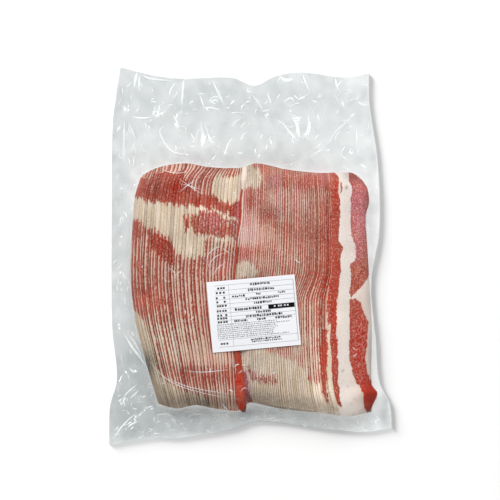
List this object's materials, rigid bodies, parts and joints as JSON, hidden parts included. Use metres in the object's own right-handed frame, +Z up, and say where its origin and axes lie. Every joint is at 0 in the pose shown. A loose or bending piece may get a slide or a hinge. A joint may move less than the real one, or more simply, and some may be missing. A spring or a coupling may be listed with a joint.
{
  "type": "vacuum pack of thinly sliced beef brisket",
  "caption": "Clear heat-sealed vacuum bag lying flat, holding two rows of thin beef slices stood on edge, with a plain paper label on top.",
  "frame": {"origin": "on the surface it rests on, under the middle of the pack's box", "axes": "+X across the slices towards the leaning end slices, +Y along the slices towards the wide empty margin, +Z up"},
  "size_m": [0.322, 0.43, 0.051],
  "materials": {
    "clear_film": "clear polyethylene film, glossy and creased, drawn tight over the meat: the solid has the meat's colour, and the film itself is clear",
    "sliced_beef": "raw beef, red lean with cream fat, moist",
    "label_paper": "smooth white label paper with dark rules and marks"
  },
  "bodies": {
    "root": {"vacuum_bag": "clear_film", "label": "label_paper"}
  },
  "joints": []
}
